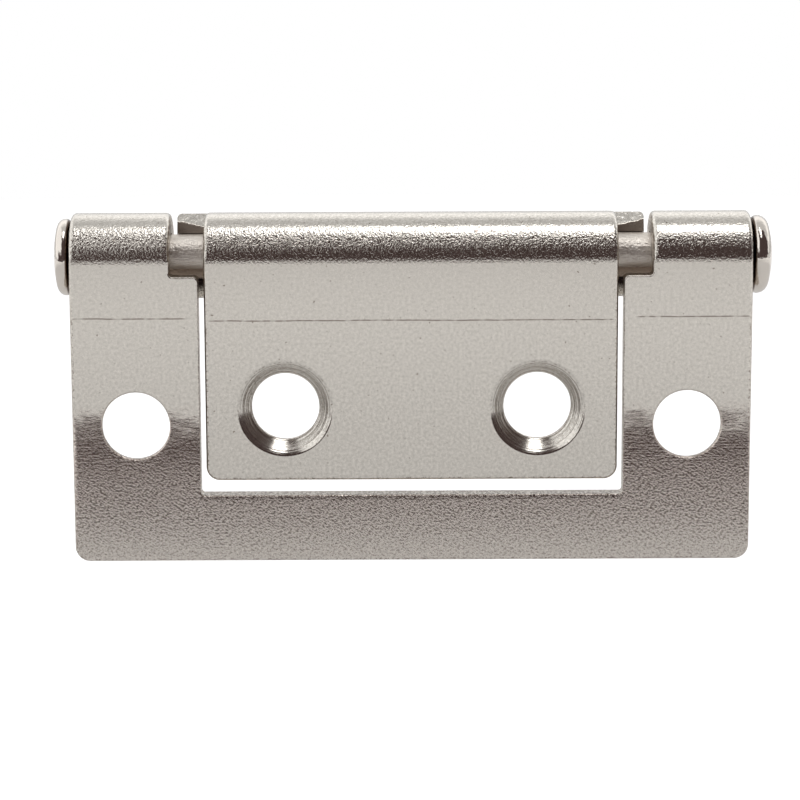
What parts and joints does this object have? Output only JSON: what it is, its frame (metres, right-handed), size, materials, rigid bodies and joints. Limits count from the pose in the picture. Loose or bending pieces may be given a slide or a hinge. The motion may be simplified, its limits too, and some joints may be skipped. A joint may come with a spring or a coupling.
{
  "type": "flush hinge",
  "caption": "Pressed-steel flush hinge: the inner leaf nests in a window of the outer leaf, so the closed hinge is one sheet thick, and both are rolled round one headed pin.",
  "frame": {"origin": "midway between the outer leaf's two screw holes, on the front face that both leaves share when closed", "axes": "+X along the pin towards its factory head, +Y from the front face to the back, +Z from the screw holes up to the rolled barrel"},
  "size_m": [0.0531, 0.0065, 0.0257],
  "materials": {
    "nickel_sheet_outer": "nickel plating on rolled steel sheet, bright with a fine orange-peel texture",
    "nickel_sheet_inner": "nickel plating on rolled steel sheet, bright with a fine orange-peel texture",
    "nickel_pin": "nickel-plated steel, with smooth heads"
  },
  "bodies": {
    "fixed_leaf": {"outer_leaf": "nickel_sheet_outer", "pin": "nickel_pin"},
    "moving_leaf": {"inner_leaf": "nickel_sheet_inner"}
  },
  "joints": [
    {"name": "leaf_swing", "type": "hinge", "parent": "fixed_leaf", "child": "moving_leaf", "pos_m": [0, 0.00325, 0.01215], "axis": [1, 0, 0], "range_deg": [-39, 127]}
  ]
}
